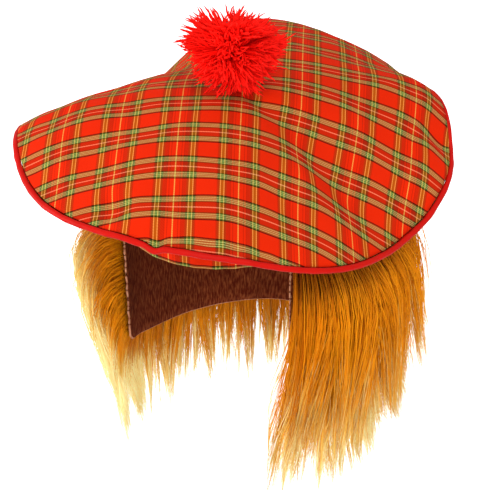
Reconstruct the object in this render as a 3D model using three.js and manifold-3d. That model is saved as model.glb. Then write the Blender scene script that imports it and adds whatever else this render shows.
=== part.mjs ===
// A round tartan tam with a yarn pompom and a strip of faux-fur hair inside its headband.
// Units are millimetres and +Z is up. The origin is the middle of the head opening,
// level with the headband's lower edge. The wearer looks along -Y, and +X is the wearer's left.
import * as THREE from "three";
import { mergeVertices } from "three/addons/utils/BufferGeometryUtils.js";
import Module from "manifold-3d";

const wasm = await Module();
wasm.setup();

// Head opening and headband
const HEAD_HALF_WIDTH = 80;
const HEAD_HALF_DEPTH = 100;
const BAND_HEIGHT = 38;
const BAND_WALL = 2;

// Crown
const CROWN_RADIUS = 147;
const CROWN_HEIGHT = 90;
const CROWN_SHIFT_X = -5;
const CROWN_SHIFT_Y = -3;
const CLOTH_WALL = 1.6;
const UNDERSIDE_SAG = 5;
const PIPING_RADIUS = 2.3;

// Hair strip: its knitted backing and its pile
const FACE_GAP_DEGREES = 108;
const BACKING_DROP = 130;
const BACKING_WALL = 1.6;
const BACKING_TUCK = 4;
const BACKING_CORNER = 12;
const HAIR_DROP = 215;
const HAIR_PUFF = 58;
const HAIR_GROUND = 9;

// Pompom
const POMPOM_HALF_WIDTH = 37;
const POMPOM_HALF_HEIGHT = 30;
const POMPOM_LIFT = 28;
const POMPOM_LOCK_WIDTH = 17;
const POMPOM_LOCKS = 32;

// Clearance between pieces that touch
const GAP = 0.3;

// Facets
const AROUND = 60;
const CROWN_RINGS = 10;
const UNDERSIDE_RINGS = 3;
const PIPING_SIDES = 6;
const BACKING_STEPS = 42;
const BACKING_ROWS = 3;
const HAIR_ROWS = 2;
const LOCK_SIDES = 4;

const HALF_TURN = 180;
const FULL_TURN = 360;
const FRONT_BEARING = 270;
const GOLDEN_ANGLE = HALF_TURN * (3 - Math.sqrt(5));
const rad = THREE.MathUtils.degToRad;
const { clamp, lerp } = THREE.MathUtils;

// The rim by bearing, counted from +X towards +Y, so 270 is straight ahead of the wearer.
// reach is the rim's radius as a share of CROWN_RADIUS, and rise its height as a share of CROWN_HEIGHT.
// full is the power of the radius with which the dome falls, so a higher one stays flat for longer.
const RIM = [
  { bearing: 0, reach: 0.92, rise: 0.1, full: 1.4 },
  { bearing: 30, reach: 1.06, rise: 0.31, full: 1.9 },
  { bearing: 60, reach: 1.09, rise: 0.55, full: 2.8 },
  { bearing: 90, reach: 1.14, rise: 0.72, full: 3.8 },
  { bearing: 120, reach: 1.16, rise: 0.77, full: 3.4 },
  { bearing: 150, reach: 1.07, rise: 0.22, full: 2.3 },
  { bearing: 180, reach: 1.05, rise: 0.31, full: 2.5 },
  { bearing: 210, reach: 1.06, rise: 0.65, full: 2.6 },
  { bearing: 240, reach: 1.04, rise: 0.51, full: 2.2 },
  { bearing: 270, reach: 0.99, rise: 0.5, full: 1.9 },
  { bearing: 300, reach: 0.96, rise: 0.42, full: 1.7 },
  { bearing: 330, reach: 0.94, rise: 0.19, full: 1.6 },
];

// Folds and dents in the crown's cloth. bearing and spread are degrees, inner and outer are shares of
// the rim's radius, and lift is a share of CROWN_HEIGHT, below zero where the cloth sinks.
const CROWN_FOLDS = [
  { bearing: 47, spread: 25, inner: 0.5, outer: 1.4, lift: 0.22 },
  { bearing: 142, spread: 18, inner: 0.3, outer: 1.0, lift: -0.06 },
  { bearing: 36, spread: 9, inner: 0.82, outer: 1.1, lift: -0.06 },
  { bearing: 22, spread: 11, inner: 0.75, outer: 1.1, lift: 0.04 },
  { bearing: 263, spread: 8, inner: 0.8, outer: 1.0, lift: -0.05 },
  { bearing: 277, spread: 7, inner: 0.8, outer: 1.0, lift: 0.03 },
  { bearing: 352, spread: 10, inner: 0.35, outer: 0.98, lift: -0.035 },
  { bearing: 336, spread: 10, inner: 0.35, outer: 0.98, lift: 0.03 },
  { bearing: 320, spread: 9, inner: 0.4, outer: 0.98, lift: -0.025 },
  { bearing: 225, spread: 14, inner: 0.5, outer: 1.0, lift: 0.02 },
];

// The hair strip from the left temple, round the back of the head, to the right temple.
// along is the share of the way round. edge is the backing's drop as a share of BACKING_DROP, and lean
// how far its lower edge stands outwards as a share of HEAD_HALF_WIDTH. puff and flare are how far the
// pile's middle and its tips stand off as shares of HAIR_PUFF, and tip how low they hang as a share of
// HAIR_DROP. sweep is how far the tips drift along the strip, as a share of its length.
const STRIP = [
  { along: 0.0, edge: 0.92, lean: 0.0, puff: 0.45, flare: 0.1, tip: 0.88, sweep: -0.05 },
  { along: 0.125, edge: 1.02, lean: 0.0, puff: 0.8, flare: 0.4, tip: 0.92, sweep: -0.02 },
  { along: 0.25, edge: 1.05, lean: -0.03, puff: 0.87, flare: 0.7, tip: 0.93, sweep: 0.0 },
  { along: 0.375, edge: 1.04, lean: -0.12, puff: 0.95, flare: 0.65, tip: 0.97, sweep: 0.0 },
  { along: 0.5, edge: 1.03, lean: -0.18, puff: 0.9, flare: 0.5, tip: 1.03, sweep: 0.0 },
  { along: 0.625, edge: 1.05, lean: -0.15, puff: 0.8, flare: 0.4, tip: 1.06, sweep: 0.0 },
  { along: 0.75, edge: 1.06, lean: -0.05, puff: 0.7, flare: 0.3, tip: 1.05, sweep: 0.0 },
  { along: 0.875, edge: 1.02, lean: 0.0, puff: 0.6, flare: 0.05, tip: 1.02, sweep: 0.0 },
  { along: 1.0, edge: 0.92, lean: 0.04, puff: 0.56, flare: -0.1, tip: 0.95, sweep: 0.02 },
];

// Rows of hanging locks, the upper ones over the lower. root is a share of the backing's drop, tip of the
// hair's drop and puff of the pile's stand-off there. width is a share of HAIR_PUFF.
const LOCK_ROWS = [
  { count: 9, root: 0.03, tip: 0.7, puff: 1.0, width: 0.92 },
  { count: 10, root: 0.3, tip: 0.87, puff: 0.95, width: 0.8 },
  { count: 16, root: 0.68, tip: 1.0, puff: 0.6, width: 0.54 },
];

// One lock from its root to its tip. down is the share of its fall and wide the share of its width.
// out and splay are how much of the strip's puff and of its flare it takes.
const LOCK_FORM = [
  { down: 0.0, out: 0.0, splay: 0.0, wide: 0.35 },
  { down: 0.25, out: 0.52, splay: 0.0, wide: 1.0 },
  { down: 0.62, out: 0.8, splay: 0.15, wide: 0.85 },
  { down: 1.0, out: 0.0, splay: 1.0, wide: 0.1 },
];
const LOCK_FLATNESS = 0.5;

// One pompom lock from the head to its tip: out is a share of the pompom's size, wide of its width.
const POMPOM_FORM = [
  { out: 0.5, wide: 0.6 },
  { out: 0.84, wide: 1.0 },
  { out: 1.0, wide: 0.35 },
];
const POMPOM_HEAD_SHARE = 0.84;
const POMPOM_RAGGED = 0.07;

const finish = (color, roughness) => new THREE.MeshStandardMaterial({ color, roughness, metalness: 0 });
const tartan = finish(0xc8321e, 0.85);
const satin = finish(0xe01404, 0.45);
const knit = finish(0x5a2410, 0.95);
const fur = finish(0xc07818, 0.7);
const yarn = finish(0xe8140c, 0.9);

// A cubic through four values that are one step apart, at a share of the way between the middle two.
function smoothBetween(a, b, c, d, share) {
  const square = (2 * a - 5 * b + 4 * c - d) * share * share;
  const cube = (3 * b - a - 3 * c + d) * share * share * share;
  return (2 * b + (c - a) * share + square + cube) / 2;
}

// A value of the rim table at any bearing, smooth all the way round.
function rimValue(column, bearing) {
  const count = RIM.length;
  const place = (((bearing % FULL_TURN) + FULL_TURN) % FULL_TURN) / (FULL_TURN / count);
  const row = Math.floor(place);
  const pick = (step) => RIM[(row + step + count) % count][column];
  return smoothBetween(pick(-1), pick(0), pick(1), pick(2), place - row);
}

// A value of the strip table at a share of the way along it.
function stripValue(column, along) {
  const last = STRIP.length - 1;
  const place = clamp(along, 0, 1) * last;
  const row = Math.min(Math.floor(place), last - 1);
  const pick = (step) => STRIP[clamp(row + step, 0, last)][column];
  return smoothBetween(pick(-1), pick(0), pick(1), pick(2), place - row);
}

// 1 in the middle and 0 at one spread away, with a round top and feet.
function swell(distance, spread) {
  return (1 + Math.cos(Math.PI * Math.min(1, Math.abs(distance) / spread))) / 2;
}

// How far the folds lift the cloth at a bearing and a share of the radius.
function foldLift(bearing, share) {
  const lifts = CROWN_FOLDS.map((fold) => {
    const away = ((((bearing - fold.bearing) % FULL_TURN) + FULL_TURN + HALF_TURN) % FULL_TURN) - HALF_TURN;
    const middle = (fold.inner + fold.outer) / 2;
    const along = swell(share - middle, (fold.outer - fold.inner) / 2);
    return fold.lift * CROWN_HEIGHT * swell(away, fold.spread) * along;
  });
  return lifts.reduce((sum, lift) => sum + lift, 0);
}

// A point of the crown's upper face: a dome that falls from its middle to the rim.
function crownPoint(bearing, share) {
  const radius = CROWN_RADIUS * rimValue("reach", bearing) * share;
  const fall = CROWN_HEIGHT * (1 - rimValue("rise", bearing));
  const height = CROWN_HEIGHT - fall * share ** rimValue("full", bearing);
  return new THREE.Vector3(
    CROWN_SHIFT_X + radius * Math.cos(rad(bearing)),
    CROWN_SHIFT_Y + radius * Math.sin(rad(bearing)),
    height + foldLift(bearing, share),
  );
}

// The crown's upward normal, from points a small step away round and outwards.
function crownNormal(bearing, share) {
  const step = 0.02;
  if (share < step) return new THREE.Vector3(0, 0, 1);
  const outwards = crownPoint(bearing, share + step).sub(crownPoint(bearing, share - step));
  const round = crownPoint(bearing + 1, share).sub(crownPoint(bearing - 1, share));
  return outwards.cross(round).normalize();
}

// A point of the head oval at a bearing, grown by an offset.
function headPoint(bearing, offset, height) {
  const width = HEAD_HALF_WIDTH + offset;
  const depth = HEAD_HALF_DEPTH + offset;
  const x = Math.cos(rad(bearing));
  const y = Math.sin(rad(bearing));
  const radius = 1 / Math.hypot(x / width, y / depth);
  return new THREE.Vector3(radius * x, radius * y, height);
}

// The bearing at a share of the way along the hair strip, which leaves the face open.
function stripBearing(along) {
  const start = FRONT_BEARING - FULL_TURN + FACE_GAP_DEGREES / 2;
  return start + (FULL_TURN - FACE_GAP_DEGREES) * along;
}

// The length of the strip at the head oval, near enough for its corners.
function stripLength() {
  const round = Math.PI * (HEAD_HALF_WIDTH + HEAD_HALF_DEPTH);
  return (round * (FULL_TURN - FACE_GAP_DEGREES)) / FULL_TURN;
}

// The height of the backing's lower edge, with its two lower corners rounded.
function backingEdge(along) {
  const fromEnd = Math.min(along, 1 - along) * stripLength();
  const inside = BACKING_CORNER - Math.min(fromEnd, BACKING_CORNER);
  const lift = BACKING_CORNER - Math.sqrt(BACKING_CORNER ** 2 - inside ** 2);
  return lift - BACKING_DROP * stripValue("edge", along);
}

// A point of the strip at a height, offset outwards. Below the band the strip leans by its table.
function stripPoint(along, offset, height) {
  const hang = clamp(-height / BACKING_DROP, 0, 1);
  const lean = HEAD_HALF_WIDTH * stripValue("lean", along) * hang * hang;
  return headPoint(stripBearing(along), offset + lean, height);
}

// An indexed geometry whose faces point outwards.
function solidGeometry(points, triangles) {
  const corners = triangles.filter(([a, b, c]) => a !== b && b !== c && a !== c);
  const volume = corners.reduce((sum, [a, b, c]) => {
    return sum + points[a].dot(new THREE.Vector3().crossVectors(points[b], points[c]));
  }, 0);
  const facing = volume > 0 ? corners : corners.map(([a, b, c]) => [a, c, b]);
  const geometry = new THREE.BufferGeometry();
  geometry.setAttribute("position", new THREE.Float32BufferAttribute(points.flatMap((p) => p.toArray()), 3));
  geometry.setIndex(facing.flat());
  geometry.computeVertexNormals();
  return geometry;
}

// A closed wall between two faces, each a function of a share round and a share across.
// round closes it on itself, and pole draws the first row of each face together in one point.
function wall(face, back, steps, rows, { round = false, pole = false } = {}) {
  const columns = round ? steps : steps + 1;
  const points = [];
  for (const side of [face, back]) {
    for (let i = 0; i < columns; i += 1) {
      for (let j = 0; j <= rows; j += 1) points.push(side(i / steps, j / rows));
    }
  }
  const at = (side, i, j) => (side * columns + (pole && j === 0 ? 0 : i % columns)) * (rows + 1) + j;
  const triangles = [];
  const quad = (a, b, c, d) => triangles.push([a, b, c], [a, c, d]);
  for (let i = 0; i < steps; i += 1) {
    for (let j = 0; j < rows; j += 1) {
      quad(at(0, i, j), at(0, i + 1, j), at(0, i + 1, j + 1), at(0, i, j + 1));
      quad(at(1, i, j), at(1, i, j + 1), at(1, i + 1, j + 1), at(1, i + 1, j));
    }
    quad(at(0, i, rows), at(0, i + 1, rows), at(1, i + 1, rows), at(1, i, rows));
    if (!pole) quad(at(0, i, 0), at(1, i, 0), at(1, i + 1, 0), at(0, i + 1, 0));
  }
  if (!round) {
    for (let j = 0; j < rows; j += 1) {
      quad(at(0, 0, j), at(0, 0, j + 1), at(1, 0, j + 1), at(1, 0, j));
      quad(at(0, steps, j), at(1, steps, j), at(1, steps, j + 1), at(0, steps, j + 1));
    }
  }
  return solidGeometry(points, triangles);
}

// A closed spike or tube through rings of points, with a cap on each end.
function capped(rings) {
  const sides = rings[0].length;
  const points = rings.flat();
  const triangles = [];
  for (let r = 0; r + 1 < rings.length; r += 1) {
    for (let s = 0; s < sides; s += 1) {
      const next = (s + 1) % sides;
      const [a, b, c, d] = [r * sides + s, r * sides + next, (r + 1) * sides + next, (r + 1) * sides + s];
      triangles.push([a, b, c], [a, c, d]);
    }
  }
  const last = (rings.length - 1) * sides;
  for (let s = 1; s + 1 < sides; s += 1) {
    triangles.push([0, s + 1, s], [last, last + s, last + s + 1]);
  }
  return solidGeometry(points, triangles);
}

// A manifold solid from a closed geometry, and back.
function toSolid(geometry) {
  const bare = new THREE.BufferGeometry();
  bare.setAttribute("position", geometry.getAttribute("position"));
  if (geometry.index) bare.setIndex(geometry.index);
  const merged = mergeVertices(bare, 1e-4);
  const vertProperties = new Float32Array(merged.getAttribute("position").array);
  const triVerts = new Uint32Array(merged.index.array);
  return new wasm.Manifold(new wasm.Mesh({ numProp: 3, vertProperties, triVerts }));
}

function toGeometry(solid) {
  const mesh = solid.getMesh();
  const geometry = new THREE.BufferGeometry();
  geometry.setAttribute("position", new THREE.Float32BufferAttribute(mesh.vertProperties, 3));
  geometry.setIndex(Array.from(mesh.triVerts));
  geometry.computeVertexNormals();
  return geometry;
}

function part(name, geometry, material) {
  const mesh = new THREE.Mesh(geometry, material);
  mesh.name = name;
  return mesh;
}

// The tartan top panel: one domed sheet of cloth, open underneath.
function crownTop() {
  const face = (u, v) => crownPoint(u * FULL_TURN, v);
  const back = (u, v) => {
    const bearing = u * FULL_TURN;
    return crownPoint(bearing, v).addScaledVector(crownNormal(bearing, v), -CLOTH_WALL);
  };
  return part("crown_top", wall(face, back, AROUND, CROWN_RINGS, { round: true, pole: true }), tartan);
}

// The tartan ring from the rim seam in to the headband, hanging in a slack curve.
function crownUnderside() {
  const upper = (u, v) => {
    const bearing = u * FULL_TURN;
    const rim = crownPoint(bearing, 1);
    rim.z -= CLOTH_WALL + GAP;
    const seam = headPoint(bearing, BAND_WALL + GAP, BAND_HEIGHT);
    const point = rim.lerp(seam, v);
    point.z -= UNDERSIDE_SAG * Math.sin(Math.PI * v);
    return point;
  };
  const lower = (u, v) => upper(u, v).setZ(upper(u, v).z - CLOTH_WALL);
  return part("crown_underside", wall(upper, lower, AROUND, UNDERSIDE_RINGS, { round: true }), tartan);
}

// The piping: a round cord just outside the rim seam, level with the gap between the two panels.
function rimPiping() {
  const rings = [];
  for (let i = 0; i < AROUND; i += 1) {
    const bearing = (i / AROUND) * FULL_TURN;
    const middle = crownPoint(bearing, 1);
    const outwards = new THREE.Vector3(Math.cos(rad(bearing)), Math.sin(rad(bearing)), 0);
    middle.addScaledVector(outwards, PIPING_RADIUS + GAP);
    middle.z -= CLOTH_WALL + GAP / 2;
    rings.push({ middle, outwards });
  }
  const round = (u, v) => {
    const { middle, outwards } = rings[Math.round(u * AROUND) % AROUND];
    const angle = v * 2 * Math.PI;
    const point = middle.clone().addScaledVector(outwards, PIPING_RADIUS * Math.cos(angle));
    point.z += PIPING_RADIUS * Math.sin(angle);
    return point;
  };
  const points = [];
  const triangles = [];
  for (let i = 0; i < AROUND; i += 1) {
    for (let s = 0; s < PIPING_SIDES; s += 1) {
      points.push(round(i / AROUND, s / PIPING_SIDES));
      const [here, next] = [i * PIPING_SIDES, ((i + 1) % AROUND) * PIPING_SIDES];
      const turn = (s + 1) % PIPING_SIDES;
      triangles.push([here + s, next + s, next + turn], [here + s, next + turn, here + turn]);
    }
  }
  return part("rim_piping", solidGeometry(points, triangles), satin);
}

// The tartan headband, a plain oval wall.
function headband() {
  const outer = (u, v) => headPoint(u * FULL_TURN, BAND_WALL, BAND_HEIGHT * v);
  const inner = (u, v) => headPoint(u * FULL_TURN, 0, BAND_HEIGHT * v);
  return part("headband", wall(outer, inner, AROUND, 1, { round: true }), tartan);
}

// The knitted backing, sewn inside the headband and hanging below it from temple to temple.
function hairBacking() {
  const top = BAND_HEIGHT - BACKING_TUCK;
  const face = (offset) => (u, v) => stripPoint(u, offset, lerp(top, backingEdge(u), v));
  const outer = face(-GAP);
  const inner = face(-GAP - BACKING_WALL);
  return part("hair_backing", wall(outer, inner, BACKING_STEPS, BACKING_ROWS), knit);
}

// One hanging lock: flat rings that stand off from the strip and narrow to the tip.
function hairLock(along, row) {
  const root = backingEdge(along) * row.root - HAIR_GROUND;
  const tip = -HAIR_DROP * stripValue("tip", along) * row.tip;
  const puff = HAIR_PUFF * stripValue("puff", along) * row.puff;
  const flare = HAIR_PUFF * stripValue("flare", along);
  const rings = LOCK_FORM.map((form) => {
    const place = along + stripValue("sweep", along) * form.down;
    const standOff = HAIR_GROUND / 2 + puff * form.out + flare * form.splay;
    const middle = stripPoint(place, standOff, lerp(root, tip, form.down));
    const outwards = middle.clone().setZ(0).normalize();
    const sideways = new THREE.Vector3(-outwards.y, outwards.x, 0);
    const half = (HAIR_PUFF * row.width * form.wide) / 2;
    return Array.from({ length: LOCK_SIDES }, (_, side) => {
      const angle = (side / LOCK_SIDES) * 2 * Math.PI;
      const across = middle.clone().addScaledVector(sideways, half * Math.sin(angle));
      return across.addScaledVector(outwards, half * LOCK_FLATNESS * Math.cos(angle));
    });
  });
  return toSolid(capped(rings));
}

// The room kept free of hair: where the backing is, and the hollow inside it. It runs half a step past
// each end of the strip and a little past its lower edge, and its facets lie between the backing's.
function hairClearance() {
  const steps = BACKING_STEPS + 1;
  const face = (offset) => (u, v) => {
    const along = (u * steps - 0.5) / BACKING_STEPS;
    const bottom = backingEdge(clamp(along, 0, 1)) - BACKING_TUCK;
    return stripPoint(along, offset, lerp(BAND_HEIGHT, bottom, v));
  };
  return toSolid(wall(face(GAP / 2), face(-HEAD_HALF_WIDTH / 2), steps, BACKING_ROWS));
}

// The fur: a thick pile on the backing with rows of locks fused to it, kept clear of the backing.
function hair() {
  const inner = (u, v) => stripPoint(u, -HAIR_GROUND / 2, lerp(-GAP, backingEdge(u), v));
  const outer = (u, v) => {
    const swelling = lerp(BAND_WALL, HAIR_GROUND, Math.sin(Math.PI * v));
    return stripPoint(u, swelling, lerp(-GAP, backingEdge(u), v));
  };
  const ground = toSolid(wall(outer, inner, BACKING_STEPS, HAIR_ROWS));
  const locks = LOCK_ROWS.flatMap((row) => {
    const places = Array.from({ length: row.count }, (_, i) => (i + 0.5) / row.count);
    return places.map((along) => hairLock(along, row));
  });
  const fused = wasm.Manifold.union([ground, ...locks]).subtract(hairClearance());
  return part("hair", toGeometry(fused), fur);
}

// One yarn lock of the pompom, pointing along a direction of a ball of radius 1.
function pompomLock(direction, reach) {
  const side = new THREE.Vector3(0, 0, 1).cross(direction).normalize();
  const other = direction.clone().cross(side);
  const rings = POMPOM_FORM.map((form) => {
    const middle = direction.clone().multiplyScalar(reach * form.out);
    const half = (POMPOM_LOCK_WIDTH * form.wide) / (2 * POMPOM_HALF_WIDTH);
    return Array.from({ length: LOCK_SIDES }, (_, corner) => {
      const angle = (corner / LOCK_SIDES) * 2 * Math.PI;
      const point = middle.clone().addScaledVector(side, half * Math.cos(angle));
      return point.addScaledVector(other, half * Math.sin(angle));
    });
  });
  return toSolid(capped(rings));
}

// The pompom: a head with ragged locks all round it, flattened where it sits on the crown.
function pompom() {
  const head = toSolid(new THREE.IcosahedronGeometry(POMPOM_HEAD_SHARE, 1));
  const locks = Array.from({ length: POMPOM_LOCKS }, (_, i) => {
    const height = 1 - (2 * (i + 0.5)) / POMPOM_LOCKS;
    const angle = rad(i * GOLDEN_ANGLE);
    const level = Math.sqrt(1 - height * height);
    const direction = new THREE.Vector3(level * Math.cos(angle), level * Math.sin(angle), height);
    return pompomLock(direction, 1 + POMPOM_RAGGED * Math.sin(i * i));
  });
  const ball = wasm.Manifold.union([head, ...locks]);
  const sized = ball.scale([POMPOM_HALF_WIDTH, POMPOM_HALF_WIDTH, POMPOM_HALF_HEIGHT]);
  const placed = sized.translate([CROWN_SHIFT_X, CROWN_SHIFT_Y, CROWN_HEIGHT + POMPOM_LIFT]);
  const share = (POMPOM_HALF_WIDTH * 1.5) / CROWN_RADIUS;
  const seat = (u, v) => crownPoint(u * FULL_TURN, v * share).add(new THREE.Vector3(0, 0, GAP));
  const below = (u, v) => seat(u, v).setZ(CROWN_HEIGHT - 2 * POMPOM_HALF_HEIGHT);
  const cloth = toSolid(wall(seat, below, AROUND, CROWN_RINGS, { round: true, pole: true }));
  return part("pompom", toGeometry(placed.subtract(cloth)), yarn);
}

const group = new THREE.Group();
group.add(crownTop(), crownUnderside(), rimPiping(), headband(), hairBacking(), hair(), pompom());

export default group;
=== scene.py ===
"""A tartan tam with a yarn pompom and a strip of ginger fur inside its headband.

Lengths are metres and +Z is up. The origin is the middle of the head opening, the wearer looks along -Y
and +X is the wearer's left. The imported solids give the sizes, and each class here gives one sub-assembly
its visible surface and its finish.
"""

import logging
import math
from dataclasses import dataclass
from enum import Enum
from functools import cache
from typing import Union

import bpy
import numpy as np
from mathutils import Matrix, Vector


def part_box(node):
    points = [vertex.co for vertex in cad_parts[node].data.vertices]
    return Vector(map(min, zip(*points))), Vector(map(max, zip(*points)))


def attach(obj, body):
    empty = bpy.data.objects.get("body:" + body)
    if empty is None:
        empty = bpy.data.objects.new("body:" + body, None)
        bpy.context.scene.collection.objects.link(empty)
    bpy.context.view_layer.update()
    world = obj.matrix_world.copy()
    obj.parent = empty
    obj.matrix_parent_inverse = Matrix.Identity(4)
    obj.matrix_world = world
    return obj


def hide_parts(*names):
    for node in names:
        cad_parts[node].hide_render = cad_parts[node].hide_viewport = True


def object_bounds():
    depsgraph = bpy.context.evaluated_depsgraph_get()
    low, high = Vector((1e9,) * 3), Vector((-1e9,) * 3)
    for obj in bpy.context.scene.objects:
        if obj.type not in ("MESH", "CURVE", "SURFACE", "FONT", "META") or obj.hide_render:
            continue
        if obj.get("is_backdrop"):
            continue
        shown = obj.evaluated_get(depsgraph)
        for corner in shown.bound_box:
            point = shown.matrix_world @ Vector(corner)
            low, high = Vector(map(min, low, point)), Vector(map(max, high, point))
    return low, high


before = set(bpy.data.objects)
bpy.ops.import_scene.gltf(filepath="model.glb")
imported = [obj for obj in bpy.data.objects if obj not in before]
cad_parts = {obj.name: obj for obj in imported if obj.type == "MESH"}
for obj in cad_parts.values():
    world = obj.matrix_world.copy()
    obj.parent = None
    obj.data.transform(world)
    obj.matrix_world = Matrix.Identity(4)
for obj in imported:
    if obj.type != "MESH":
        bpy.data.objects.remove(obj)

Array = np.ndarray
Colour = tuple[float, float, float]
Socket = Union[float, Colour, bpy.types.NodeSocket]

LOG = logging.getLogger("tam")
BODY = "root"
MM = 0.001
FRONT_BEARING = 270.0
FACE_GAP_DEGREES = 108.0


# Tables of shares, each followed by a smooth curve through its rows


@dataclass(frozen=True)
class RimRow:
    """The rim at one bearing: its reach and rise as shares of the crown, and how full the dome is."""

    bearing: float
    reach: float
    rise: float
    full: float


@dataclass(frozen=True)
class Fold:
    """A fold or dent of the crown, by bearing and share of the radius, with its lift as a share."""

    bearing: float
    spread: float
    inner: float
    outer: float
    lift: float


@dataclass(frozen=True)
class StripRow:
    """The hair strip at one place: shares of the drop, the lean, the puff, the flare and the tips."""

    edge: float
    lean: float
    puff: float
    flare: float
    tip: float
    sweep: float


RIM = (
    RimRow(0, 0.92, 0.1, 1.4),
    RimRow(30, 1.06, 0.31, 1.9),
    RimRow(60, 1.09, 0.55, 2.8),
    RimRow(90, 1.14, 0.72, 3.8),
    RimRow(120, 1.16, 0.77, 3.4),
    RimRow(150, 1.07, 0.22, 2.3),
    RimRow(180, 1.05, 0.31, 2.5),
    RimRow(210, 1.06, 0.65, 2.6),
    RimRow(240, 1.04, 0.51, 2.2),
    RimRow(270, 0.99, 0.5, 1.9),
    RimRow(300, 0.96, 0.42, 1.7),
    RimRow(330, 0.94, 0.19, 1.6),
)

FOLDS = (
    Fold(47, 25, 0.5, 1.4, 0.22),
    Fold(142, 18, 0.3, 1.0, -0.06),
    Fold(36, 9, 0.82, 1.1, -0.06),
    Fold(22, 11, 0.75, 1.1, 0.04),
    Fold(263, 8, 0.8, 1.0, -0.05),
    Fold(277, 7, 0.8, 1.0, 0.03),
    Fold(352, 10, 0.35, 0.98, -0.035),
    Fold(336, 10, 0.35, 0.98, 0.03),
    Fold(320, 9, 0.4, 0.98, -0.025),
    Fold(225, 14, 0.5, 1.0, 0.02),
)

CREASES = (
    Fold(279.5, 3.2, 0.86, 1.1, -0.035),
    Fold(271, 7, 0.82, 1.06, 0.022),
    Fold(292, 12, 0.945, 0.985, -0.014),
    Fold(303, 9, 0.95, 0.985, -0.01),
    Fold(35.5, 3.2, 0.84, 1.04, -0.05),
    Fold(30, 5, 0.8, 1.0, 0.02),
)

STRIP = (
    StripRow(0.92, 0.0, 0.45, 0.1, 0.97, -0.05),
    StripRow(1.02, 0.0, 0.8, 0.4, 0.97, -0.02),
    StripRow(1.05, -0.03, 0.87, 0.7, 0.93, 0.0),
    StripRow(1.04, -0.12, 0.95, 0.65, 0.97, 0.0),
    StripRow(1.03, -0.18, 0.9, 0.5, 1.03, 0.0),
    StripRow(1.05, -0.15, 0.8, 0.4, 1.06, 0.0),
    StripRow(1.06, -0.05, 0.7, 0.2, 1.05, 0.0),
    StripRow(1.02, 0.0, 0.72, 0.0, 1.05, 0.0),
    StripRow(0.92, 0.04, 0.86, -0.08, 1.08, -0.02),
)


def smooth_rows(values: Array, place: Array, closed: bool) -> Array:
    """Reads evenly spaced values at any place with the cubic that passes through the nearest four.

    Args:
        values: One value for each row.
        place: Where to read, counted in rows from the first.
        closed: Whether the last row is followed by the first.

    Returns:
        The values there, in the shape of place.
    """
    count = len(values)
    if closed:
        row = np.floor(place).astype(int)
    else:
        place = np.clip(place, 0, count - 1)
        row = np.minimum(np.floor(place).astype(int), count - 2)
    share = place - row

    def pick(step: int) -> Array:
        """The value a few rows away from the row below the place."""
        index = (row + step) % count if closed else np.clip(row + step, 0, count - 1)
        return values[index]

    a, b, c, d = pick(-1), pick(0), pick(1), pick(2)
    square = (2 * a - 5 * b + 4 * c - d) * share**2
    cube = (3 * b - a - 3 * c + d) * share**3
    return (2 * b + (c - a) * share + square + cube) / 2


def rim_value(column: str, bearing: Array) -> Array:
    """A column of the rim table at any bearing in degrees, smooth all the way round."""
    values = np.array([getattr(row, column) for row in RIM])
    return smooth_rows(values, (bearing % 360) / 360 * len(RIM), closed=True)


def strip_value(column: str, along: Array) -> Array:
    """A column of the strip table at a share of the way from the left temple to the right one."""
    values = np.array([getattr(row, column) for row in STRIP])
    return smooth_rows(values, np.asarray(along) * (len(STRIP) - 1), closed=False)


def swell(distance: Array, spread: Array) -> Array:
    """A round-topped bump that is 1 in the middle and 0 at one spread away."""
    return (1 + np.cos(np.pi * np.minimum(1, np.abs(distance) / spread))) / 2


def ease(value: Array) -> Array:
    """A smooth step from 0 to 1 as the value goes from 0 to 1."""
    inside = np.clip(value, 0, 1)
    return inside * inside * (3 - 2 * inside)


def unit(vectors: Array) -> Array:
    """Vectors of length 1 along the last axis."""
    return vectors / np.maximum(np.linalg.norm(vectors, axis=-1, keepdims=True), 1e-12)


def outward(bearing: Array) -> Array:
    """Level unit vectors that point away from the middle at bearings in degrees."""
    way = np.radians(bearing)
    return np.stack([np.cos(way), np.sin(way), np.zeros_like(way)], axis=-1)


def turned(points: Array, bearing: float) -> tuple[Array, Array]:
    """Where points lie in plan along a bearing in degrees, and square to it."""
    way = np.radians(bearing)
    run = points[..., 0] * np.cos(way) + points[..., 1] * np.sin(way)
    return run, points[..., 1] * np.cos(way) - points[..., 0] * np.sin(way)


def ripple(points: Array, waves: tuple[tuple[float, float, float], ...]) -> Array:
    """A soft uneven field: a sum of sine waves across the plan.

    Args:
        points: Places, whose last axis is X, Y and perhaps Z.
        waves: For each wave its length in metres, its bearing in degrees and its height.

    Returns:
        The sum of the waves at each place.
    """
    total = np.zeros(points.shape[:-1])
    for number, (length, bearing, height) in enumerate(waves):
        run, rise = turned(points, bearing)
        sway = np.sin(rise / length * 2.3 + number)
        total += height * np.sin(2 * np.pi * run / length + number * 1.7 + 1.3 * sway)
    return total


def round_grid(around: int, shares: Array) -> tuple[Array, Array]:
    """Bearings all the way round against shares across, as two grids."""
    grids = np.meshgrid(np.arange(around) * 360 / around, shares, indexing="ij")
    return grids[0], grids[1]


def corners(*numbers: Array) -> Array:
    """Faces from arrays of corner numbers, one array for each corner."""
    return np.stack([number.ravel() for number in numbers], axis=1)


# Meshes from whole arrays


def add_object(name: str, data: bpy.types.ID) -> bpy.types.Object:
    """Puts a mesh, a lamp or a camera into the scene as a new object."""
    made = bpy.data.objects.new(name, data)
    bpy.context.scene.collection.objects.link(made)
    return made


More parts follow.
